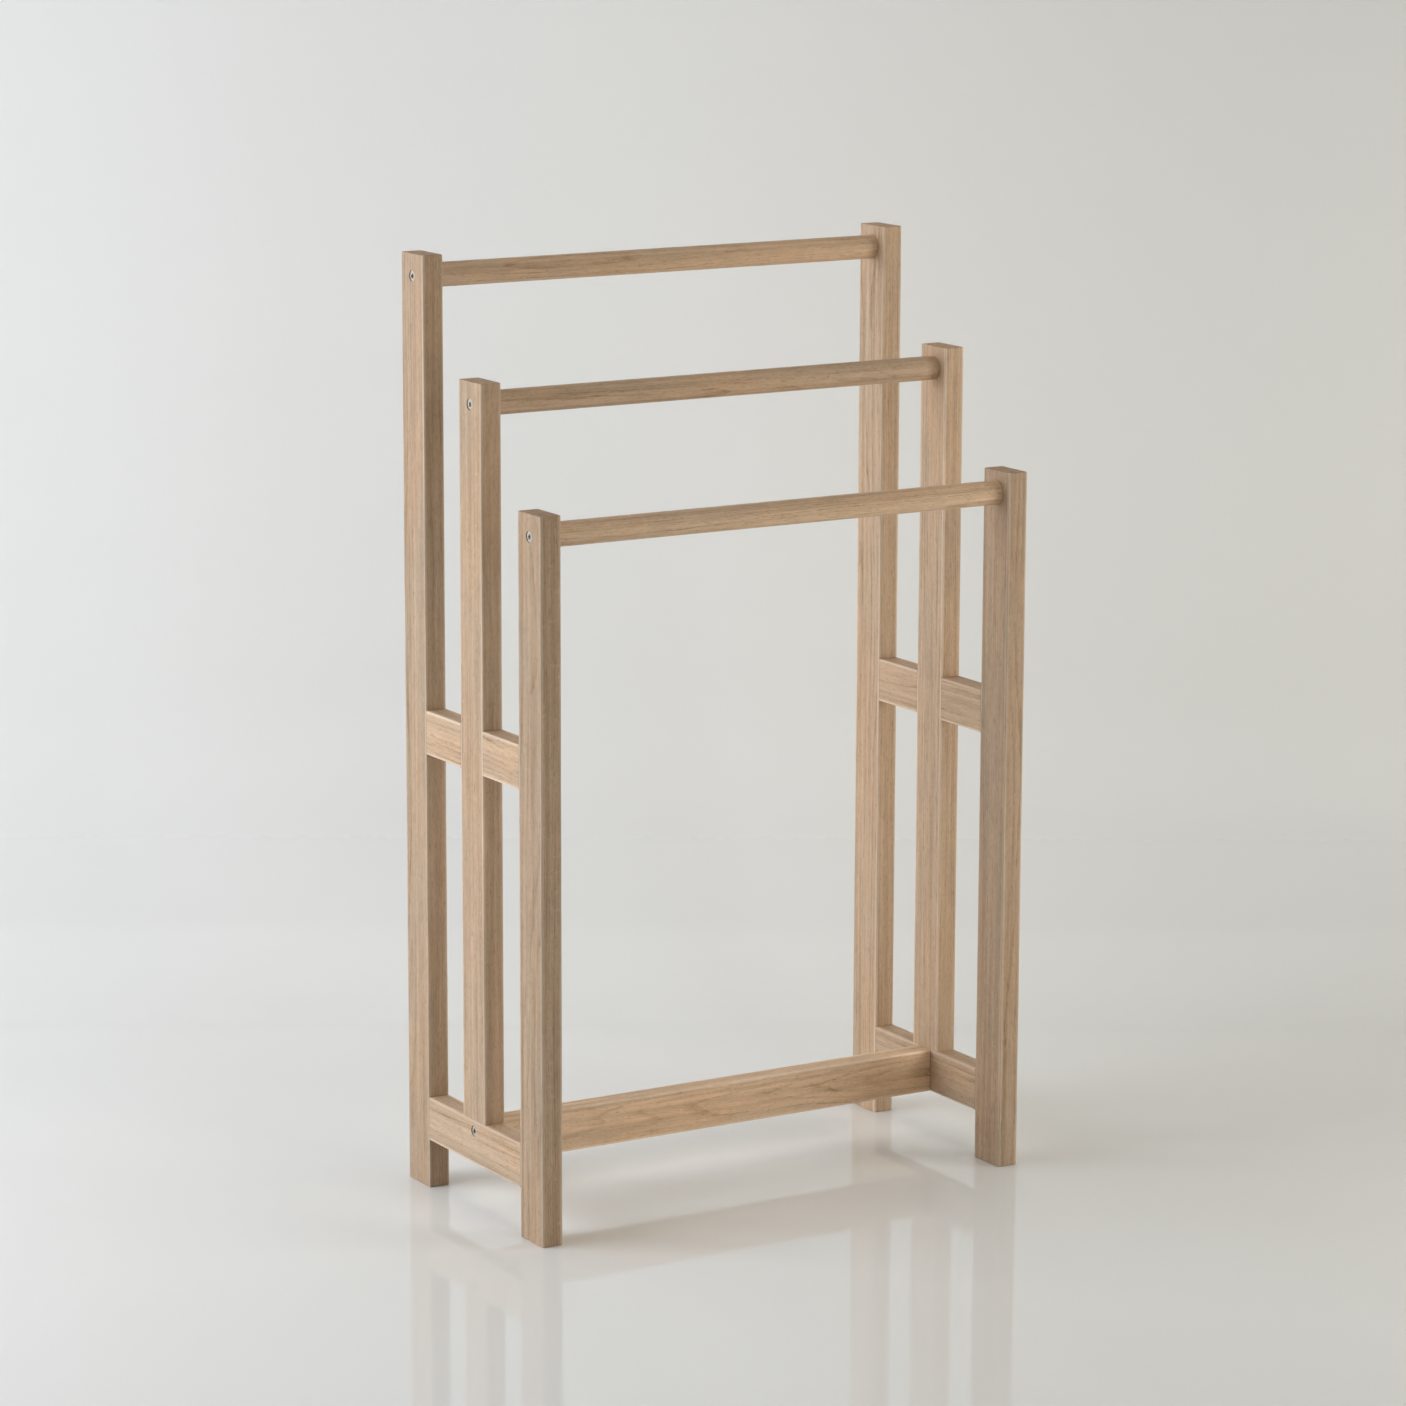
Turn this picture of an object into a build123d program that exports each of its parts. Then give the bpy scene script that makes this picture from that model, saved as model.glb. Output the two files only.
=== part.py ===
from build123d import *
import os

# A free-standing towel rack in solid oak: two ladder-like side frames, three round rods between
# them that step down from back to front, and one low stretcher that keeps the frames apart.
#
# Millimetres.  +Z is up.  The front is -Y, where the lowest rod is, and +X is to the right of
# someone who stands in front.  The origin is on the floor, at the middle of the footprint.

# ---- Driving sizes of the rack ---------------------------------------------------------------

overall_width = 502          # outer face to outer face of the side frames, along X
overall_depth = 250          # back face to front face, along Y
overall_height = 850         # the back uprights
rod_step = 101               # each row of uprights is this much lower than the row behind it

stock_width = 40             # oak strip of the side frames, its broad side
stock_thickness = 20         # oak strip of the side frames, its narrow side
edge_round = 1.0             # eased edges of the uprights, rails and stretcher
joint_hairline = 0.2         # bevel round the ends of a rail, which draws a fine line at its joints

rod_diameter = 22
rod_below_top = 20           # axis of a rod, below the top of its uprights
rod_end_chamfer = 0.6

bottom_rail_underside = 45   # floor to the bottom rails and the stretcher
mid_rail_underside = 403     # floor to the short rails at half height
stretcher_height = 40
stretcher_thickness = 20

# ---- Fasteners and their clearances ----------------------------------------------------------

dowel_diameter = 8
dowel_length = 30
dowel_pitch = 20             # between the two dowels of one joint
dowel_end_chamfer = 1
dowel_clearance = 0.1        # round a dowel in its hole
dowel_end_gap = 0.5          # past each end of a dowel in its hole

screw_diameter = 6           # over the thread
screw_core_diameter = 4
screw_length = 50
screw_plain_length = 14      # from the head to the first turn of the thread
screw_thread_pitch = 2.5
screw_tip_length = 4
screw_head_diameter = 10
screw_head_rim = 0.5         # straight rim above the cone of the head
screw_socket_across_flats = 4
screw_socket_depth = 2.5
screw_clearance = 0.1        # round a screw in its hole
screw_end_gap = 1            # past the tip of a screw in its hole
screw_head_sink = 0.4        # the head lies this far below the wood

stretcher_screw_from_top = 10    # screw axis, below the top of the stretcher's joint
stretcher_dowel_from_foot = 10   # dowel axis, above the underside of the stretcher's joint
stretcher_dowel_in_rail = 12     # length of the stretcher's dowel that is in the bottom rail

# ---- Places that several pieces share --------------------------------------------------------

outer_x = overall_width / 2                      # outer faces of the side frames
inner_x = outer_x - stock_thickness              # inner faces, where rods and stretcher butt
frame_x = outer_x - stock_thickness / 2          # middle of the side frames' thickness
row_y = overall_depth / 2 - stock_width / 2      # the back row; the front row is at -row_y
bottom_rail_top = bottom_rail_underside + stock_width
mid_rail_z = mid_rail_underside + stock_width / 2
bottom_rail_z = bottom_rail_underside + stock_width / 2
stretcher_top = bottom_rail_underside + stretcher_height
stretcher_joint_top = min(stretcher_top, bottom_rail_top)
stretcher_screw_z = stretcher_joint_top - stretcher_screw_from_top
stretcher_dowel_z = bottom_rail_underside + stretcher_dowel_from_foot

dowel_hole_radius = dowel_diameter / 2 + dowel_clearance
dowel_hole_depth = dowel_length / 2 + dowel_end_gap
screw_hole_radius = screw_diameter / 2 + screw_clearance
screw_seat_radius = screw_head_diameter / 2 + screw_clearance
screw_pilot_depth = screw_head_sink + screw_length + screw_end_gap - stock_thickness

sides = {"left": -1, "right": 1}
rows = {
    "back": (row_y, overall_height),
    "middle": (0, overall_height - rod_step),
    "front": (-row_y, overall_height - 2 * rod_step),
}


# ---- Joint places: the same planes drill both pieces of a joint and seat its fastener --------

def outer_plane(side, y, z):
    """On the outer face of a side frame, looking outwards."""
    return Plane(origin=(side * outer_x, y, z), x_dir=(0, 1, 0), z_dir=(side, 0, 0))


def inner_plane(side, y, z):
    """On the inner face of a side frame, looking outwards, as it meets a rod or the stretcher."""
    return Plane(origin=(side * inner_x, y, z), x_dir=(0, 1, 0), z_dir=(side, 0, 0))


def rail_end_plane(side, y, z):
    """Where the end of a rail meets an upright, looking to the back."""
    return Plane(origin=(side * frame_x, y, z), x_dir=(1, 0, 0), z_dir=(0, 1, 0))


def foot_plane(side):
    """Where the middle upright stands on the bottom rail, looking up."""
    return Plane(origin=(side * frame_x, 0, bottom_rail_top), x_dir=(1, 0, 0), z_dir=(0, 0, 1))


def mid_rail_joints(side):
    """The four rail ends at half height, from back to front."""
    half = stock_width / 2
    return [rail_end_plane(side, y, mid_rail_z) for y in (row_y - half, half, -half, half - row_y)]


def bottom_rail_joints(side):
    """The two ends of the bottom rail, from back to front."""
    half = stock_width / 2
    return [rail_end_plane(side, y, bottom_rail_z) for y in (row_y - half, half - row_y)]


def upright_joints(side, row):
    """Where rails butt the uprights of a row, looking into the upright."""
    back_rail_back, back_rail_front, front_rail_back, front_rail_front = mid_rail_joints(side)
    bottom_rail_back, bottom_rail_front = bottom_rail_joints(side)
    return {
        "back": [back_rail_back, bottom_rail_back],
        "middle": [-back_rail_front, front_rail_back],
        "front": [-front_rail_front, -bottom_rail_front],
    }[row]


def square_land(joint):
    """Fills out the eased edges of the piece in front of the plane, so that it stays square and
    flush where another strip butts it."""
    with BuildSketch(joint) as land:
        Rectangle(stock_thickness, stock_width - 2 * edge_round)
    extrude(land.sketch, amount=2 * edge_round)


def drill_dowel_pair(joint):
    """Cuts the two blind holes of a dowelled joint into the piece behind the plane."""
    with Locations(joint):
        with Locations((0, -dowel_pitch / 2), (0, dowel_pitch / 2)):
            Hole(dowel_hole_radius, dowel_hole_depth)


def drill_screw_seat(place):
    """Cuts a countersunk hole right through a side frame, for a screw sunk below the wood."""
    with Locations(place.offset(-screw_head_sink - screw_head_rim)):
        CounterSinkHole(screw_hole_radius, screw_seat_radius, counter_sink_angle=90)


# ---- Side frames -----------------------------------------------------------------------------

def make_upright(side, row):
    """A strip of oak on end.  The back and front rows stand on the floor, the middle row stands
    on the bottom rail, and a countersunk hole near the top takes the rod's screw."""
    y, top = rows[row]
    foot = bottom_rail_top if row == "middle" else 0
    with BuildPart() as upright:
        with BuildSketch(Plane.XY.offset(foot)):
            with Locations((side * frame_x, y)):
                Rectangle(stock_thickness, stock_width)
        extrude(amount=top - foot)
        ends = upright.edges().group_by(Axis.Z)
        eased = upright.edges().filter_by(Axis.Z) + ends[-1]
        if row != "middle":
            eased += ends[0]
        fillet(eased, edge_round)
        joints = upright_joints(side, row)
        for joint in joints:
            square_land(joint)
        if row == "middle":
            joints.append(foot_plane(side))
        for joint in joints:
            drill_dowel_pair(-joint)
        drill_screw_seat(outer_plane(side, y, top - rod_below_top))
    return upright


def make_rail(side, back_joint, front_joint):
    """A strip of oak between two uprights, flush with both of their faces and dowelled at each
    end."""
    length = back_joint.origin.Y - front_joint.origin.Y
    with BuildPart() as rail:
        with BuildSketch(front_joint):
            Rectangle(stock_thickness, stock_width)
        extrude(amount=length)
        fillet(rail.edges().filter_by(Axis.Y), edge_round)
        ends = rail.edges().group_by(Axis.Y)
        chamfer(ends[0] + ends[-1], joint_hairline)
        drill_dowel_pair(back_joint)
        drill_dowel_pair(-front_joint)
    return rail


def make_bottom_rail(side):
    """The lowest rail of a side frame.  The middle upright stands on it and the stretcher butts
    its inner face, held by one screw and one dowel."""
    back_joint, front_joint = bottom_rail_joints(side)
    plain = make_rail(side, back_joint, front_joint)
    with BuildPart() as rail:
        add(plain.part)
        square_land(-foot_plane(side))
        drill_dowel_pair(foot_plane(side))
        drill_screw_seat(outer_plane(side, 0, stretcher_screw_z))
        with Locations(-inner_plane(side, 0, stretcher_dowel_z)):
            Hole(dowel_hole_radius, stretcher_dowel_in_rail + dowel_end_gap)
    return rail


# ---- Rods and stretcher ----------------------------------------------------------------------

def make_rod(row):
    """A turned oak rod between the two side frames, screwed through them into its end grain."""
    y, top = rows[row]
    z = top - rod_below_top
    with BuildPart() as rod:
        with BuildSketch(Plane(origin=(-inner_x, y, z), x_dir=(0, 1, 0), z_dir=(1, 0, 0))):
            Circle(rod_diameter / 2)
        extrude(amount=2 * inner_x)
        chamfer(rod.edges().filter_by(GeomType.CIRCLE), rod_end_chamfer)
        for side in sides.values():
            with Locations(inner_plane(side, y, z)):
                Hole(screw_hole_radius, screw_pilot_depth)
    return rod


def make_stretcher():
    """The low rail that ties the side frames together, at the middle of their depth."""
    with BuildPart() as stretcher:
        centre_z = bottom_rail_underside + stretcher_height / 2
        with BuildSketch(Plane(origin=(-inner_x, 0, centre_z), x_dir=(0, 1, 0), z_dir=(1, 0, 0))):
            Rectangle(stretcher_thickness, stretcher_height)
        extrude(amount=2 * inner_x)
        fillet(stretcher.edges().filter_by(Axis.X), edge_round)
        for side in sides.values():
            with Locations(inner_plane(side, 0, stretcher_screw_z)):
                Hole(screw_hole_radius, screw_pilot_depth)
            with Locations(inner_plane(side, 0, stretcher_dowel_z)):
                Hole(dowel_hole_radius, dowel_length - stretcher_dowel_in_rail + dowel_end_gap)
    return stretcher


# ---- Fasteners -------------------------------------------------------------------------------

def make_screw():
    """One steel screw with a flat countersunk head and a hexagon socket.  It points down -Z
    from the top of its head, which is at the origin."""
    head = screw_head_diameter / 2
    neck = screw_diameter / 2
    core = screw_core_diameter / 2
    cone_foot = -screw_head_rim - (head - neck)
    thread_foot = screw_tip_length - screw_length
    outline = [(0, 0), (head, 0), (head, -screw_head_rim), (neck, cone_foot)]
    z = -screw_plain_length
    outline.append((neck, z))
    while z - screw_thread_pitch > thread_foot:
        outline.append((core, z - 0.4 * screw_thread_pitch))
        outline.append((core, z - 0.6 * screw_thread_pitch))
        z -= screw_thread_pitch
        outline.append((neck, z))
    outline += [(core, thread_foot), (core / 4, -screw_length), (0, -screw_length)]
    with BuildPart() as screw:
        with BuildSketch(Plane.XZ):
            with BuildLine():
                Polyline(outline, close=True)
            make_face()
        revolve(axis=Axis.Z)
        with BuildSketch(Plane.XY):
            RegularPolygon(screw_socket_across_flats / 2, 6, major_radius=False)
        extrude(amount=-screw_socket_depth, mode=Mode.SUBTRACT)
    return screw


def make_dowel():
    """One beech dowel with chamfered ends, centred on the origin along Z."""
    with BuildPart() as dowel:
        Cylinder(dowel_diameter / 2, dowel_length)
        chamfer(dowel.edges().filter_by(GeomType.CIRCLE), dowel_end_chamfer)
    return dowel


def make_screw_pair(y, z):
    """The two screws that hold one rod, or the stretcher, from outside."""
    one = make_screw()
    with BuildPart() as screws:
        for side in sides.values():
            with Locations(outer_plane(side, y, z).offset(-screw_head_sink)):
                add(one.part)
    return screws


def make_dowel_pairs(joints):
    """Two dowels in each of the given joints, half in one piece and half in the other."""
    one = make_dowel()
    with BuildPart() as dowels:
        for joint in joints:
            with Locations(joint):
                with Locations((0, -dowel_pitch / 2), (0, dowel_pitch / 2)):
                    add(one.part)
    return dowels


def make_stretcher_dowels():
    """One dowel in each end of the stretcher, below the screw, which stops it from turning."""
    one = make_dowel()
    shift = stretcher_dowel_in_rail - dowel_length / 2
    with BuildPart() as dowels:
        for side in sides.values():
            with Locations(inner_plane(side, 0, stretcher_dowel_z).offset(shift)):
                add(one.part)
    return dowels


# ---- The rack, piece by piece ----------------------------------------------------------------

pieces = {}

for side_name, side in sides.items():
    for row in rows:
        pieces[f"{side_name}_{row}_upright"] = make_upright(side, row)
    joints = mid_rail_joints(side)
    pieces[f"{side_name}_back_mid_rail"] = make_rail(side, joints[0], joints[1])
    pieces[f"{side_name}_front_mid_rail"] = make_rail(side, joints[2], joints[3])
    pieces[f"{side_name}_bottom_rail"] = make_bottom_rail(side)
    pieces[f"{side_name}_mid_rail_dowels"] = make_dowel_pairs(joints)
    pieces[f"{side_name}_bottom_rail_dowels"] = make_dowel_pairs(bottom_rail_joints(side))
    pieces[f"{side_name}_middle_upright_dowels"] = make_dowel_pairs([foot_plane(side)])

for row, (y, top) in rows.items():
    pieces[f"{row}_rod"] = make_rod(row)
    pieces[f"{row}_rod_screws"] = make_screw_pair(y, top - rod_below_top)

pieces["stretcher"] = make_stretcher()
pieces["stretcher_screws"] = make_screw_pair(0, stretcher_screw_z)
pieces["stretcher_dowels"] = make_stretcher_dowels()

os.makedirs("parts", exist_ok=True)
for name, piece in pieces.items():
    piece.part.label = name
    export_step(piece.part, f"parts/{name}.step")
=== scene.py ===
import math

import bmesh
import bpy
from mathutils import Euler, Matrix, Vector


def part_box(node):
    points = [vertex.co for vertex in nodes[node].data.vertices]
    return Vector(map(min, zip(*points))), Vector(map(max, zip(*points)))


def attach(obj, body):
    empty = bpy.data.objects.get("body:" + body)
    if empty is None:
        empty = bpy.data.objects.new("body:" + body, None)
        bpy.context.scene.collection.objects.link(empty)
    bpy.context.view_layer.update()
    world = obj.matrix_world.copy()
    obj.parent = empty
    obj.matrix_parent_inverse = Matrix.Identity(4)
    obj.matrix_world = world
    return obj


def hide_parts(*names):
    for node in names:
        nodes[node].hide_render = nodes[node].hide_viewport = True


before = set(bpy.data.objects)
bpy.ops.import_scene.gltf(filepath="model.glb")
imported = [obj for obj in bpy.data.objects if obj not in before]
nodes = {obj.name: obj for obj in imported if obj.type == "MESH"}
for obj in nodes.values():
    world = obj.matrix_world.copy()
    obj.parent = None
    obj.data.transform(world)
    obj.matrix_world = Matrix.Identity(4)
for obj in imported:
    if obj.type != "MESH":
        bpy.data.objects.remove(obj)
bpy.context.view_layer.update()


# ---------------------------------------------------------------------------------------------
# Uprights: six planed oak strips, three to a side frame, tall at the back and lower towards the
# front. Their long edges are eased with fine paper, and the oak is limed pale and oiled matt.
# ---------------------------------------------------------------------------------------------
class Shade:
    """One shader socket, so that maths on it is written the way it is read."""

    def __init__(self, tree, socket=None):
        self.tree = tree
        self.socket = socket

    def node(self, kind, settings, sockets, output=0):
        """A new node of that kind, its settings made first, then its sockets' values or links."""
        made = self.tree.nodes.new(kind)
        for name, value in settings.items():
            setattr(made, name, value)
        for name, value in sockets.items():
            if isinstance(value, Shade):
                value.into(made.inputs[name])
            else:
                made.inputs[name].default_value = value
        return Shade(self.tree, made.outputs[output])

    def into(self, socket):
        """This linked to the socket of a node that is there already."""
        self.tree.links.new(self.socket, socket)

    def maths(self, operation, *values):
        return self.node("ShaderNodeMath", {"operation": operation}, dict(enumerate((self,) + values)))

    def __add__(self, other):
        return self.maths("ADD", other)

    def __sub__(self, other):
        return self.maths("SUBTRACT", other)

    def __rsub__(self, other):
        return (self - other) * -1

    def __mul__(self, other):
        return self.maths("MULTIPLY", other)

    def __truediv__(self, other):
        return self.maths("DIVIDE", other)

    def __abs__(self):
        return self.maths("ABSOLUTE")

    __radd__ = __add__
    __rmul__ = __mul__

    def larger(self, other):
        return self.maths("MAXIMUM", other)

    def between(self, low, high):
        """0 up to low, 1 from high on, and smooth between."""
        settings = {"interpolation_type": "SMOOTHSTEP"}
        return self.node("ShaderNodeMapRange", settings, {"Value": self, "From Min": low, "From Max": high})

    def place(self):
        """The place on the piece, in metres."""
        return self.node("ShaderNodeTexCoord", {}, {}, "Object")

    def parts(self):
        outputs = self.node("ShaderNodeSeparateXYZ", {}, {"Vector": self}).socket.node.outputs
        return [Shade(self.tree, outputs[axis]) for axis in range(3)]

    def in_steps(self, step):
        """The place counted in steps of that many metres along each axis."""
        scale = [1 / length for length in step]
        return self.node("ShaderNodeVectorMath", {"operation": "MULTIPLY"}, {0: self, 1: scale})

    def noise(self, detail=2.0):
        """Cloudy noise round 0, one cloud to a step."""
        sockets = {"Vector": self, "Scale": 1.0, "Detail": detail, "Roughness": 0.5}
        return self.node("ShaderNodeTexNoise", {"noise_dimensions": "3D"}, sockets) - 0.5

    def mixed(self, kind, share, first, second):
        """Two colours mixed. The sockets have these numbers because a Mix node has a set of them
        for each type of value, all with the same names."""
        settings = {"data_type": "RGBA", "blend_type": kind}
        return self.node("ShaderNodeMix", settings, {0: share, 6: first, 7: second}, 2)

    def blend(self, low, high):
        """The colour low where this is 0, and high where it is 1."""
        return self.mixed("MIX", self, low, high)

    def darkened(self, share, colour):
        """This colour multiplied by another, by that share."""
        return self.mixed("MULTIPLY", share, self, colour)

    def relief(self, strength, depth):
        """The normal of a surface with this height."""
        return self.node("ShaderNodeBump", {}, {"Height": self, "Strength": strength, "Distance": depth})


def distance(a, b):
    """How far the place is from where a and b are both 0."""
    return (a * a + b * b).maths("SQRT")


def new_material(name, colour):
    """A material, its start for shader maths, and its shader's sockets."""
    material = bpy.data.materials.new(name)
    material.use_nodes = True
    material.diffuse_color = colour
    tree = material.node_tree
    return material, Shade(tree), tree.nodes["Principled BSDF"].inputs


def finish_in(material, node_name):
    """The piece's own node shows, in this material."""
    mesh = nodes[node_name].data
    mesh.materials.clear()
    mesh.materials.append(material)


TURN_TO_Z = {"X": (0, -math.pi / 2, 0), "Y": (math.pi / 2, 0, 0), "Z": (0, 0, 0)}


def place_in_strip(start, node_name, length_axis):
    """The place in a strip turned to lie along the third axis, from its middle, its half sizes
    and how squarely a face looks along its length."""
    turn = Euler(TURN_TO_Z[length_axis])
    low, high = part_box(node_name)
    centre = turn.to_matrix() @ ((low + high) / 2)
    half = [abs(side) for side in turn.to_matrix() @ ((high - low) / 2)]
    sockets = {"Vector": start.place(), "Location": -centre, "Rotation": turn}
    place = start.node("ShaderNodeMapping", {"vector_type": "POINT"}, sockets)
    facing = start.node("ShaderNodeTexCoord", {}, {}, "Normal")
    sockets = {"Vector": facing, "Rotation": turn}
    squarely = start.node("ShaderNodeMapping", {"vector_type": "NORMAL"}, sockets).parts()[2]
    return place, half, abs(squarely)


OAK_PALE = (0.576, 0.418, 0.284, 1)
OAK_EARLY = (0.400, 0.266, 0.155, 1)
OAK_PINK = (1.0, 0.94, 0.88, 1)
OAK_PORE = (0.34, 0.245, 0.16, 1)
OAK_RAY = (0.62, 0.475, 0.34, 1)
OAK_END = (0.72, 0.62, 0.52, 1)
OAK_EDGE_HIGHLIGHT = (0.77, 0.63, 0.49, 1)
OAK_RING = 0.0026

# the size of each pattern's clouds, two ways across a strip and then along it
RING_SWING = (0.045, 0.045, 0.34)
RING_RIPPLE = (0.010, 0.010, 0.085)
RING_WAVER = (0.004, 0.004, 0.020)
EARLY_PATCH = (0.014, 0.014, 0.075)
FIBRE = (0.00045, 0.00045, 0.016)
WIDE_PORE = (0.0010, 0.0010, 0.013)
FINE_PORE = (0.00055, 0.00055, 0.006)
STREAK = (0.0045, 0.0045, 0.30)
CLOUD = (0.035, 0.035, 0.16)
MOTTLE = (0.006, 0.006, 0.026)
STRIP_APART = (0.031, 0.017, 0.43)

# how far the rings sway with each of the first three
SWING_BY = 0.020
RIPPLE_BY = 0.0024
WAVER_BY = 0.0007

# spring wood grows in this part of a year, and a ray is this thick, deep and tall
EARLY_FULL = 0.07
EARLY_OVER = 0.55
RAY_THICK = 0.0010
RAY_DEEP = 0.009
RAY_TALL = 0.005
RAY_LEAST_RADIUS = 0.02

# where the painted edge highlight and the joint line of glue and painted shade show, from the edge or the
# end inwards
EDGE_HIGHLIGHT_BAND = (0.0007, 0.0030)
END_HIGHLIGHT_BAND = (0.0004, 0.0016)
GLUE_AND_SHADE_LINE = (0.0002, 0.0007)
GLUE_AND_SHADE_LIGHT = 0.45
SQUARE_TO_END = (0.6, 0.9)
OAK_RELIEF = 0.0003


def oak(node_name, length_axis, heart, lean, ring=OAK_RING, tone=1.0, round_bar=False, glued=False):
    """Solid oak. heart is where the log's heart lies from the strip's middle, lean how far it
    drifts for each metre of length, ring the growth of a year, and tone the strip's lightness."""
    material, start, shader = new_material(node_name + "_oak", OAK_PALE)
    place, half, end_face = place_in_strip(start, node_name, length_axis)
    seed = sum(ord(letter) * (1 + index) for index, letter in enumerate(node_name)) % 97
    apart = {0: place, 1: [seed * step for step in STRIP_APART]}
    moved = start.node("ShaderNodeVectorMath", {"operation": "ADD"}, apart)
    a, b, along = place.parts()

    # growth rings round the heart, wandering slowly along the strip
    from_heart_a = a - heart[0] + along * lean[0]
    from_heart_b = b - heart[1] + along * lean[1]
    radius = distance(from_heart_a, from_heart_b)
    swing = moved.in_steps(RING_SWING).noise(1.5)
    ripple = moved.in_steps(RING_RIPPLE).noise(2.0)
    waver = moved.in_steps(RING_WAVER).noise(1.0)
    years = (radius + swing * SWING_BY + ripple * RIPPLE_BY + waver * WAVER_BY) / ring
    season = years.maths("FRACT")
    early = (1 - season.between(0.0, EARLY_OVER)) * season.between(0.0, EARLY_FULL)
    year = years.maths("FLOOR")
    strong_year = start.node("ShaderNodeTexWhiteNoise", {"noise_dimensions": "1D"}, {"W": year + seed})
    patch = moved.in_steps(EARLY_PATCH).noise(2.0).between(-0.22, 0.22)
    early = early * (0.20 + strong_year * 0.60) * (0.45 + patch * 0.75)

    # pores run with the grain, most of them in the spring wood, and rays cross it
    fibre = moved.in_steps(FIBRE).noise(2.0)
    wide_pores = moved.in_steps(WIDE_PORE).noise(1.0).between(0.06, 0.13)
    wide_pores = wide_pores * (0.12 + early * 0.88)
    fine_pores = moved.in_steps(FINE_PORE).noise(1.0).between(0.11, 0.18)
    pores = wide_pores.larger(fine_pores * 0.6)
    across = from_heart_b.maths("ARCTAN2", from_heart_a) * max(RAY_LEAST_RADIUS, math.hypot(*heart))
    in_rays = {0: across / RAY_THICK, 1: radius / RAY_DEEP, 2: along / RAY_TALL}
    rays = start.node("ShaderNodeCombineXYZ", {}, in_rays).noise(1.0).between(0.15, 0.21)

    # the wood's own colour, uneven along its streaks and in soft clouds
    streak = moved.in_steps(STREAK).noise(2.0)
    cloud = moved.in_steps(CLOUD).noise(2.0)
    mottle = moved.in_steps(MOTTLE).noise(3.0)
    light = tone * (0.99 + cloud * 0.22 + streak * 0.50 + mottle * 0.30 + fibre * 0.24)
    colour = (early * 0.62 + streak * -0.6).between(-0.1, 0.75).blend(OAK_PALE, OAK_EARLY)
    colour = colour.darkened((cloud * 2.2 + 0.5).between(0.0, 1.0), OAK_PINK)
    colour = colour.darkened(pores * 0.62, OAK_PORE)
    colour = (rays * 0.45).blend(colour, OAK_RAY)

    # end grain drinks more oil, eased edges get a painted highlight, and a dark line at the ends of a joint
    # is partly glue and partly painted shade
    colour = colour.darkened(end_face.between(*SQUARE_TO_END) * 0.35, OAK_END)
    # a painted highlight along the eased edges, or along the ends of a round bar
    if round_bar:
        edge_highlight = 1 - (half[2] - abs(along)).between(*END_HIGHLIGHT_BAND)
    else:
        from_edge = (half[0] - abs(a)).larger(half[1] - abs(b))
        edge_highlight = 1 - from_edge.between(*EDGE_HIGHLIGHT_BAND)
    edge_highlight = edge_highlight * (0.75 + streak * 1.5)
    colour = (edge_highlight * 0.75).blend(colour, OAK_EDGE_HIGHLIGHT)
    if glued:
        # a darker line at the joint's end, partly glue and partly painted shade in the joint's hairline
        from_joint = half[2] - abs(along)
        light = light * (GLUE_AND_SHADE_LIGHT + from_joint.between(*GLUE_AND_SHADE_LINE) * (1 - GLUE_AND_SHADE_LIGHT))
    grey = start.node("ShaderNodeCombineXYZ", {}, {0: light, 1: light, 2: light})
    colour.darkened(1.0, grey).into(shader["Base Color"])

    rough = 0.60 + pores * 0.18 + early * 0.08 - rays * 0.10 - edge_highlight * 0.06 + cloud * 0.10
    rough.into(shader["Roughness"])
    shader["IOR"].default_value = 1.45
    shader["Specular IOR Level"].default_value = 0.35
    height = 0.5 - pores * 0.5 - early * 0.12 + fibre * 0.18 + rays * 0.05
    height.relief(0.55, OAK_RELIEF).into(shader["Normal"])
    finish_in(material, node_name)


# each strip's heart, lean and tone
UPRIGHT_HEARTS = {
    "left_back_upright": ((0.052, 0.030), (0.010, -0.006), 0.84),
    "left_middle_upright": ((-0.038, 0.055), (-0.008, 0.012), 0.91),
    "left_front_upright": ((0.070, -0.020), (0.006, 0.010), 0.80),
    "right_back_upright": ((-0.060, 0.020), (0.012, 0.004), 1.02),
    "right_middle_upright": ((0.045, -0.045), (-0.006, -0.010), 1.05),
    # this upright's lower tone is partly its own darker oak and partly painted shade on it
    "right_front_upright": ((-0.030, 0.064), (0.010, 0.008), 0.85),
}
for name, (heart, lean, tone) in UPRIGHT_HEARTS.items():
    oak(name, "Z", heart, lean, tone=tone)


# ---------------------------------------------------------------------------------------------
# Rails: the same oak strip, cut between the uprights and glued flush with them. Two short ones
# at mid height and one long one near the floor make each side frame a ladder.
# ---------------------------------------------------------------------------------------------
RAIL_HEARTS = {
    "left_back_mid_rail": ((0.040, 0.050), (0.020, 0.010), 1.05),
    "left_front_mid_rail": ((0.062, -0.034), (-0.015, 0.020), 1.03),
    "left_bottom_rail": ((-0.048, 0.056), (0.012, -0.016), 1.02),
    "right_back_mid_rail": ((0.058, 0.030), (0.015, -0.010), 1.07),
    "right_front_mid_rail": ((-0.045, -0.050), (-0.018, 0.012), 1.00),
    "right_bottom_rail": ((0.050, 0.044), (-0.010, 0.014), 0.98),
}
for name, (heart, lean, tone) in RAIL_HEARTS.items():
    oak(name, "Y", heart, lean, tone=tone, glued=True)


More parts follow.
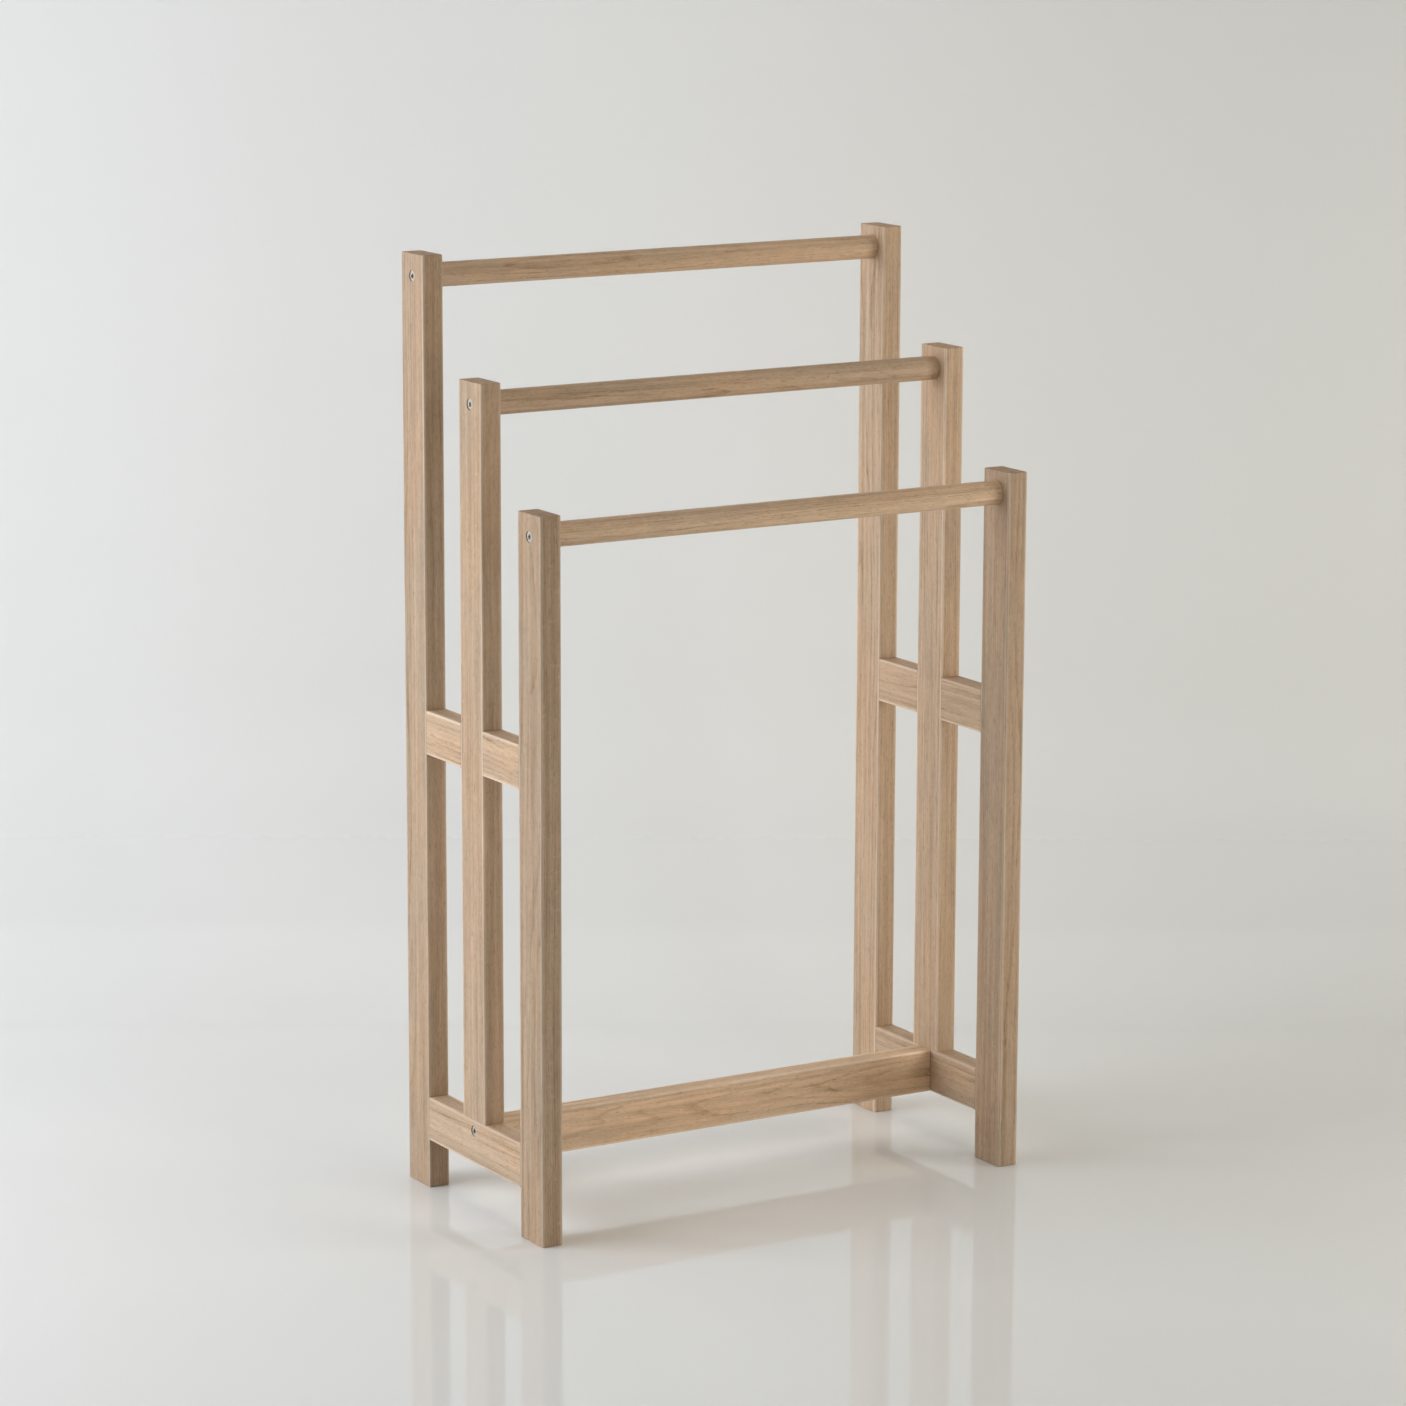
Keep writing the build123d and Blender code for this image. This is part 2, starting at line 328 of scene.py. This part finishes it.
# ---------------------------------------------------------------------------------------------
# Dowels: fluted beech pins, 8 x 30 mm, half in one piece and half in the other. Most joints have
# two, and the stretcher's have one below the screw. The flutes let air and spare glue out of the
# hole, and the chamfered ends find it.
# ---------------------------------------------------------------------------------------------
BEECH = (0.60, 0.43, 0.29, 1)
BEECH_DARK = (0.47, 0.31, 0.195, 1)
BEECH_FLECK = (0.62, 0.45, 0.32, 1)
BEECH_END = (0.70, 0.60, 0.50, 1)
BEECH_FIBRE_STEP = (0.0007, 0.0007, 0.012)
BEECH_FLECK_STEP = (0.0006, 0.0012, 0.003)
BEECH_RELIEF = 0.0002
DOWEL_COLUMNS = 48
DOWEL_FLUTE_EVERY = 3
DOWEL_FLUTE_DEPTH = 0.0003
DOWEL_FLUTE_END = 0.0005
DOWEL_CHAMFER = 0.001
TOUCHING = 1e-6
CREASE = math.radians(32)


def solids_of(node_name):
    """The lowest and highest corners of each separate solid in a node."""
    copy = bmesh.new()
    copy.from_mesh(nodes[node_name].data)
    bmesh.ops.remove_doubles(copy, verts=copy.verts, dist=TOUCHING)
    left = set(copy.verts)
    boxes = []
    while left:
        solid = [left.pop()]
        for vert in solid:
            near = {edge.other_vert(vert) for edge in vert.link_edges} & left
            left -= near
            solid += near
        low = Vector([min(vert.co[axis] for vert in solid) for axis in range(3)])
        high = Vector([max(vert.co[axis] for vert in solid) for axis in range(3)])
        boxes.append((low, high))
    copy.free()
    return sorted(boxes, key=lambda box: [round(value, 5) for value in box[0]])


def turned(outline, columns):
    """A shape turned round the third axis from an outline of radii and heights."""
    shape = bmesh.new()
    chain = [shape.verts.new((radius, 0, height)) for radius, height in outline]
    edges = [shape.edges.new(pair) for pair in zip(chain, chain[1:])]
    bmesh.ops.spin(
        shape, geom=chain + edges, cent=(0, 0, 0), axis=(0, 0, 1),
        angle=math.tau, steps=columns, use_merge=True,
    )
    bmesh.ops.remove_doubles(shape, verts=shape.verts, dist=TOUCHING)
    return shape


def push_in(vert, across):
    """The point moved to that share of its distance from the third axis."""
    vert.co = (vert.co.x * across, vert.co.y * across, vert.co.z)


def add_copy(mesh, shape, place):
    """The shape joins the mesh at a place."""
    part = bpy.data.meshes.new("part")
    shape.to_mesh(part)
    part.transform(place)
    mesh.from_mesh(part)
    bpy.data.meshes.remove(part)


def as_object(shape, name, material):
    """The shape, shaded smooth, becomes an object."""
    for face in shape.faces:
        face.smooth = True
    mesh = bpy.data.meshes.new(name)
    shape.to_mesh(mesh)
    shape.free()
    mesh.materials.append(material)
    made = bpy.data.objects.new(name, mesh)
    bpy.context.scene.collection.objects.link(made)
    return made


def show_instead(whole, name, node_name, material):
    """The shape becomes a piece that shows in place of a node and rides with the rack."""
    for edge in whole.edges:
        edge.smooth = edge.calc_face_angle(0) < CREASE
    piece = as_object(whole, name, material)
    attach(piece, "root")
    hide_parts(node_name)


def fluted_dowel(length, diameter):
    end, full = length / 2, diameter / 2
    slim, fluted_to = full - DOWEL_CHAMFER, end - DOWEL_CHAMFER - DOWEL_FLUTE_END
    upper = [(full, fluted_to), (full, end - DOWEL_CHAMFER), (slim, end), (0, end)]
    shape = turned([(radius, -height) for radius, height in reversed(upper)] + upper, DOWEL_COLUMNS)
    for vert in shape.verts:
        column = round(math.atan2(vert.co.y, vert.co.x) / math.tau * DOWEL_COLUMNS)
        if column % DOWEL_FLUTE_EVERY == 0 and abs(vert.co.z) < fluted_to + TOUCHING:
            push_in(vert, 1 - DOWEL_FLUTE_DEPTH / full)
    bmesh.ops.recalc_face_normals(shape, faces=shape.faces)
    return shape


def beech(name, length_axis, node_name):
    material, start, shader = new_material(name, BEECH)
    place, _, end_face = place_in_strip(start, node_name, length_axis)
    fibre = place.in_steps(BEECH_FIBRE_STEP).noise(2.0)
    fleck = place.in_steps(BEECH_FLECK_STEP).noise(1.0).between(0.14, 0.22)
    colour = (fibre * 1.4 + 0.4).between(0.0, 1.0).blend(BEECH, BEECH_DARK)
    colour = colour.darkened(fleck * 0.5, BEECH_FLECK)
    colour.darkened(end_face.between(*SQUARE_TO_END) * 0.4, BEECH_END).into(shader["Base Color"])
    (0.62 + fibre * 0.2).into(shader["Roughness"])
    (fibre - fleck * 0.4).relief(0.4, BEECH_RELIEF).into(shader["Normal"])
    return material


DOWEL_NODES = {"stretcher_dowels": "X"}
for side in ("left", "right"):
    DOWEL_NODES[side + "_mid_rail_dowels"] = "Y"
    DOWEL_NODES[side + "_bottom_rail_dowels"] = "Y"
    DOWEL_NODES[side + "_middle_upright_dowels"] = "Z"
TURN_FROM_Z = {
    "X": Matrix.Rotation(math.pi / 2, 4, "Y"),
    "Y": Matrix.Rotation(-math.pi / 2, 4, "X"),
    "Z": Matrix.Identity(4),
}
for name, length_axis in DOWEL_NODES.items():
    whole = bmesh.new()
    for low, high in solids_of(name):
        sides = sorted(high - low)
        dowel = fluted_dowel(sides[2], sides[0])
        add_copy(whole, dowel, Matrix.Translation((low + high) / 2) @ TURN_FROM_Z[length_axis])
        dowel.free()
    show_instead(whole, name + "_fluted", name, beech(name + "_beech", length_axis, name))


# ---------------------------------------------------------------------------------------------
# Rods: three turned oak bars, 22 mm thick, that the towels hang on. Their ends are cut square
# and butt against the side frames.
# ---------------------------------------------------------------------------------------------
ROD_HEARTS = {
    "back_rod": ((0.030, 0.046), (0.010, 0.006), 1.13),
    "middle_rod": ((-0.048, 0.028), (-0.008, 0.010), 1.00),
    "front_rod": ((0.044, -0.036), (0.006, -0.012), 1.20),
}
for name, (heart, lean, tone) in ROD_HEARTS.items():
    oak(name, "X", heart, lean, tone=tone, round_bar=True)


# ---------------------------------------------------------------------------------------------
# Stretcher: one oak strip on edge that ties the two bottom rails together. It was sawn close to
# the heart of a log that leans, so its broad faces show arched figure.
# ---------------------------------------------------------------------------------------------
STRETCHER_HEART = (0.004, 0.024)
STRETCHER_LEAN = (0.020, 0.036)
STRETCHER_RING = 0.0030
STRETCHER_TONE = 1.30
oak("stretcher", "X", STRETCHER_HEART, STRETCHER_LEAN, ring=STRETCHER_RING, tone=STRETCHER_TONE, glued=True)


# ---------------------------------------------------------------------------------------------
# Screws: zinc-plated steel, 6 x 50 mm, with flat heads sunk into the outer faces and hexagon
# sockets. One holds each end of every rod and of the stretcher.
# ---------------------------------------------------------------------------------------------
STEEL = (0.80, 0.745, 0.67, 1)
STEEL_DULL = (0.58, 0.54, 0.48, 1)
STEEL_SPOT_STEP = (0.0009, 0.0009, 0.0009)
STEEL_TURNING_MARKS = 12000.0
STEEL_RELIEF = 0.00005
SCREW_COLUMNS = 36
SCREW_RADIUS = 0.003
SCREW_CORE = 0.002
SCREW_PLAIN = 0.014
SCREW_TIP = 0.004
SCREW_TIP_RADIUS = 0.0005
SCREW_PITCH = 0.0025
SCREW_FLANK = 0.4
SCREW_RINGS_A_TURN = 10
HEAD_RIM = 0.0005
HEAD_ROUND = 0.00025
HEAD_ROUND_MIDDLE = 0.29
SOCKET_CORNER = 0.004 / math.sqrt(3)
SOCKET_DEPTH = 0.0025
SOCKET_CHAMFER = 0.0002
SOCKET_CONE = 0.0005
SOCKET_CONE_RING = 0.4
SOCKET_FIRST_TURN = 17
SOCKET_NEXT_TURN = 23
SOCKET_SIDE_TURN = 31


def screw_shape(length, head):
    """A screw that points down from the middle of its head's face."""
    cone = HEAD_RIM + head - SCREW_RADIUS
    thread = length - SCREW_PLAIN - SCREW_TIP
    rings = round(thread / SCREW_PITCH * SCREW_RINGS_A_TURN)
    outline = [
        (0, -SOCKET_DEPTH - SOCKET_CONE),
        (SOCKET_CORNER * SOCKET_CONE_RING, -SOCKET_DEPTH - SOCKET_CONE * (1 - SOCKET_CONE_RING)),
        (SOCKET_CORNER, -SOCKET_DEPTH),
        (SOCKET_CORNER, -SOCKET_CHAMFER),
        (SOCKET_CORNER + SOCKET_CHAMFER, 0),
        (head - HEAD_ROUND, 0),
        (head - HEAD_ROUND * HEAD_ROUND_MIDDLE, -HEAD_ROUND * HEAD_ROUND_MIDDLE),
        (head, -HEAD_ROUND),
        (head, -HEAD_RIM),
        (SCREW_RADIUS, -cone),
    ]
    outline += [(SCREW_RADIUS, -SCREW_PLAIN - thread * ring / rings) for ring in range(rings + 1)]
    outline += [(SCREW_TIP_RADIUS, -length), (0, -length)]
    shape = turned(outline, SCREW_COLUMNS)

    # the thread, cut down to its core between the turns
    for vert in shape.verts:
        below = -SCREW_PLAIN - vert.co.z
        if TOUCHING < below < thread + TOUCHING:
            turns = below / SCREW_PITCH + math.atan2(vert.co.y, vert.co.x) / math.tau
            from_crest = abs(turns - round(turns))
            runs_out = min(1, (thread - below) / SCREW_PITCH)
            level = max(0, 1 - from_crest / SCREW_FLANK) * runs_out
            push_in(vert, (SCREW_CORE + (SCREW_RADIUS - SCREW_CORE) * level) / SCREW_RADIUS)

    # the socket, pressed from round to a hexagon with flat sides
    for vert in shape.verts:
        from_axis = math.hypot(vert.co.x, vert.co.y)
        if from_axis < SOCKET_CORNER + SOCKET_CHAMFER + TOUCHING and vert.co.z > -SCREW_PLAIN:
            from_flat = math.atan2(vert.co.y, vert.co.x) % (math.pi / 3) - math.pi / 6
            push_in(vert, math.cos(math.pi / 6) / math.cos(from_flat))
    bmesh.ops.recalc_face_normals(shape, faces=shape.faces)
    return shape


def zinc(name, node_name):
    material, start, shader = new_material(name, STEEL)
    place = start.place()
    low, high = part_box(node_name)
    middle = (low + high) / 2
    _, y, z = place.parts()
    marks = (distance(y - middle.y, z - middle.z) * STEEL_TURNING_MARKS).maths("SINE")
    spots = place.in_steps(STEEL_SPOT_STEP).noise(3.0)
    (spots * 1.6 + 0.4).between(0.0, 1.0).blend(STEEL, STEEL_DULL).into(shader["Base Color"])
    (0.36 + spots * 0.3 + marks * 0.03).into(shader["Roughness"])
    shader["Metallic"].default_value = 1.0
    (marks * 0.3 + spots).relief(0.3, STEEL_RELIEF).into(shader["Normal"])
    return material


SCREW_NODES = ("back_rod_screws", "middle_rod_screws", "front_rod_screws", "stretcher_screws")
for number, name in enumerate(SCREW_NODES):
    whole = bmesh.new()
    for side, (low, high) in zip((-1, 1), solids_of(name)):
        face = Vector((low.x if side < 0 else high.x, (low.y + high.y) / 2, (low.z + high.z) / 2))
        screw = screw_shape(high.x - low.x, (high.z - low.z) / 2)
        stopped_at = math.radians(SOCKET_FIRST_TURN + SOCKET_NEXT_TURN * number + SOCKET_SIDE_TURN * side)
        turn = Matrix.Rotation(side * math.pi / 2, 4, "Y") @ Matrix.Rotation(stopped_at, 4, "Z")
        add_copy(whole, screw, Matrix.Translation(face) @ turn)
        screw.free()
    show_instead(whole, name + "_threaded", name, zinc(name + "_zinc", name))


# ---------------------------------------------------------------------------------------------
# Floor: one pale, glossy sheet that curves up behind the rack into a backdrop. Seen from behind,
# the backdrop is clear, so the rack shows from every side, and far off the floor is clear too.
# ---------------------------------------------------------------------------------------------
CAMERA_AZIMUTH = math.radians(31.09)
FLOOR_FRONT = 3.2
FLOOR_BACK = 0.50
FLOOR_HALF_WIDTH = 5.0
COVE_RADIUS = 0.30
COVE_STEPS = 24
WALL_HEIGHT = 3.0
FLOOR_CLEAR = (1.2, 2.2)
SHEET_LIT_LEFT = (0.835, 0.835, 0.81, 1)
SHEET_SHADED_RIGHT = (0.69, 0.69, 0.665, 1)
SHEET_PAINTED_FALLOFF = (-0.1, 0.80)
SHEET_SCUFF_STEP = (0.012, 0.012, 0.012)
STAGE_TOUCHING = 0.0001


def pull(shape, edges, step):
    """The edges extruded by a step, and the new edges."""
    grown = bmesh.ops.extrude_edge_only(shape, edges=edges)["geom"]
    verts = [part for part in grown if isinstance(part, bmesh.types.BMVert)]
    bmesh.ops.translate(shape, vec=step, verts=verts)
    return [part for part in grown if isinstance(part, bmesh.types.BMEdge)]


def show_stage(shape, name, material):
    """The shape, facing inwards and up, becomes an object in the scene."""
    bmesh.ops.remove_doubles(shape, verts=shape.verts, dist=STAGE_TOUCHING)
    bmesh.ops.recalc_face_normals(shape, faces=shape.faces)
    lowest = min(shape.faces, key=lambda face: face.calc_center_median().z)
    if lowest.normal.z < 0:
        bmesh.ops.reverse_faces(shape, faces=shape.faces)
    piece = as_object(shape, name, material)
    return piece


def sheet(name):
    """The sheet's material, its start, its shaded surface, the place on it, and its output."""
    material, start, shader = new_material(name, SHEET_LIT_LEFT)
    place = start.place()
    scuff = place.in_steps(SHEET_SCUFF_STEP).noise(3.0)
    x, y, z = place.parts()
    # painted light falloff: the sheet is lighter on the left of the view and darker towards its right
    to_the_right = x * math.cos(CAMERA_AZIMUTH) - y * math.sin(CAMERA_AZIMUTH)
    to_the_right.between(*SHEET_PAINTED_FALLOFF).blend(SHEET_LIT_LEFT, SHEET_SHADED_RIGHT).into(shader["Base Color"])
    (0.05 + scuff * 0.03 + z.between(0.0, COVE_RADIUS) * 0.5).into(shader["Roughness"])
    shader["IOR"].default_value = 1.45
    shader["Specular IOR Level"].default_value = 0.5
    surface = Shade(start.tree, start.tree.nodes["Principled BSDF"].outputs["BSDF"])
    output = start.tree.nodes["Material Output"].inputs["Surface"]
    return material, start, surface, place, output


shape = bmesh.new()
corner_left = shape.verts.new((-FLOOR_HALF_WIDTH, -FLOOR_FRONT, 0))
corner_right = shape.verts.new((FLOOR_HALF_WIDTH, -FLOOR_FRONT, 0))
edges = pull(shape, [shape.edges.new((corner_left, corner_right))], (0, FLOOR_FRONT + FLOOR_BACK, 0))
cove_centre = (0, FLOOR_BACK, COVE_RADIUS)
bend = bmesh.ops.spin(
    shape, geom=edges, cent=cove_centre, axis=(1, 0, 0),
    angle=math.pi / 2, steps=COVE_STEPS, use_merge=False,
)
edges = [part for part in bend["geom_last"] if isinstance(part, bmesh.types.BMEdge)]
pull(shape, edges, (0, 0, WALL_HEIGHT))
bmesh.ops.rotate(shape, cent=(0, 0, 0), matrix=Matrix.Rotation(-CAMERA_AZIMUTH, 3, "Z"), verts=shape.verts)

material, start, surface, place, output = sheet("floor_sheet")
from_behind = start.node("ShaderNodeNewGeometry", {}, {}, "Backfacing")
x, y, z = place.parts()
far_off = distance(x, y).between(*FLOOR_CLEAR)
on_the_ground = 1 - z.between(0.0, COVE_RADIUS)
clear = start.node("ShaderNodeBsdfTransparent", {}, {})
hidden = from_behind.larger(far_off * on_the_ground)
start.node("ShaderNodeMixShader", {}, {0: hidden, 1: surface, 2: clear}).into(output)
show_stage(shape, "floor", material)


# ---------------------------------------------------------------------------------------------
# Surround: the studio round the rack, a floor that fades into a pale, even wall. It shows behind
# the rack from the sides and the back and in what shines, and it lights nothing.
# ---------------------------------------------------------------------------------------------
SURROUND_RADIUS = 6.5
SURROUND_COVE = 1.0
SURROUND_COVE_STEPS = 12
SURROUND_HEIGHT = 4.0
SURROUND_DROP = 0.0006
SURROUND_COLUMNS = 96
SURROUND_GLOW = (0.66, 0.655, 0.635, 1)
SURROUND_FADE = (0.8, 2.3)

outline = [(0, 0), (SURROUND_RADIUS - SURROUND_COVE, 0)]
for step in range(1, SURROUND_COVE_STEPS + 1):
    angle = math.pi / 2 * step / SURROUND_COVE_STEPS
    radius = SURROUND_RADIUS - SURROUND_COVE + SURROUND_COVE * math.sin(angle)
    outline.append((radius, SURROUND_COVE * (1 - math.cos(angle))))
outline.append((SURROUND_RADIUS, SURROUND_HEIGHT))
shape = turned(outline, SURROUND_COLUMNS)
bmesh.ops.translate(shape, verts=shape.verts, vec=(0, 0, -SURROUND_DROP))

material, start, surface, place, output = sheet("surround_sheet")
far_off = start.node("ShaderNodeVectorMath", {"operation": "LENGTH"}, {0: place}, "Value")
glow = start.node("ShaderNodeEmission", {}, {"Color": SURROUND_GLOW})
faded = far_off.between(*SURROUND_FADE)
start.node("ShaderNodeMixShader", {}, {0: faded, 1: surface, 2: glow}).into(output)
surround = show_stage(shape, "surround", material)
surround.visible_diffuse = False
surround.visible_transmission = False
surround.visible_shadow = False


# ---------------------------------------------------------------------------------------------
# Light: a large cool source on the left, and weaker, warmer ones on the right, in front and
# overhead, in a dim pale room. None of them mirrors in the floor or in the steel.
# ---------------------------------------------------------------------------------------------
ROOM_COLOUR = (0.93, 0.94, 0.92, 1)
ROOM_STRENGTH = 0.03


def soft_light(name, place, aim, size, power, colour):
    light = bpy.data.lights.new(name, "AREA")
    light.shape = "SQUARE"
    light.size = size
    light.energy = power
    light.color = colour
    lamp = bpy.data.objects.new(name, light)
    lamp.location = place
    lamp.visible_glossy = False
    lamp.rotation_euler = (Vector(aim) - Vector(place)).to_track_quat("-Z", "Y").to_euler()
    bpy.context.scene.collection.objects.link(lamp)


soft_light("key_light", (-2.4, 0.8, 1.1), aim=(0, 0, 0.45), size=2.0, power=65, colour=(0.955, 1.0, 1.085))
soft_light("fill_light", (1.3, -1.2, 0.6), aim=(0.1, 0, 0.4), size=0.9, power=14, colour=(1.02, 1.0, 0.95))
soft_light("front_light", (0.2, -3.0, 2.2), aim=(0, 0, 0.5), size=1.4, power=20, colour=(1.06, 1.0, 0.90))
soft_light("top_light", (0, 0.2, 3.0), aim=(0, 0, 0), size=2.0, power=11, colour=(1.055, 1.0, 0.92))

world = bpy.data.worlds.new("studio")
world.use_nodes = True
background = world.node_tree.nodes["Background"].inputs
background["Color"].default_value = ROOM_COLOUR
background["Strength"].default_value = ROOM_STRENGTH
bpy.context.scene.world = world
bpy.context.scene.view_settings.view_transform = "Standard"


# ---------------------------------------------------------------------------------------------
# Camera: a long lens well away from the rack and a little above it, off its front left corner,
# with no shift and everything sharp.
# ---------------------------------------------------------------------------------------------
CAMERA_ELEVATION = math.radians(11.49)
CAMERA_ROLL = math.radians(0.18)
CAMERA_DISTANCE = 4.50
CAMERA_AIM = Vector((-0.0153, -0.0025, 0.4413))
LENS = 127.8
SENSOR = 36.0

lens = bpy.data.cameras.new("camera")
lens.lens = LENS
lens.sensor_width = SENSOR
camera = bpy.data.objects.new("camera", lens)
looking = Vector((
    math.sin(CAMERA_AZIMUTH) * math.cos(CAMERA_ELEVATION),
    math.cos(CAMERA_AZIMUTH) * math.cos(CAMERA_ELEVATION),
    -math.sin(CAMERA_ELEVATION),
))
turn = looking.to_track_quat("-Z", "Y").to_matrix() @ Matrix.Rotation(CAMERA_ROLL, 3, "Z")
camera.matrix_world = Matrix.Translation(CAMERA_AIM - looking * CAMERA_DISTANCE) @ turn.to_4x4()
bpy.context.scene.collection.objects.link(camera)
bpy.context.scene.camera = camera
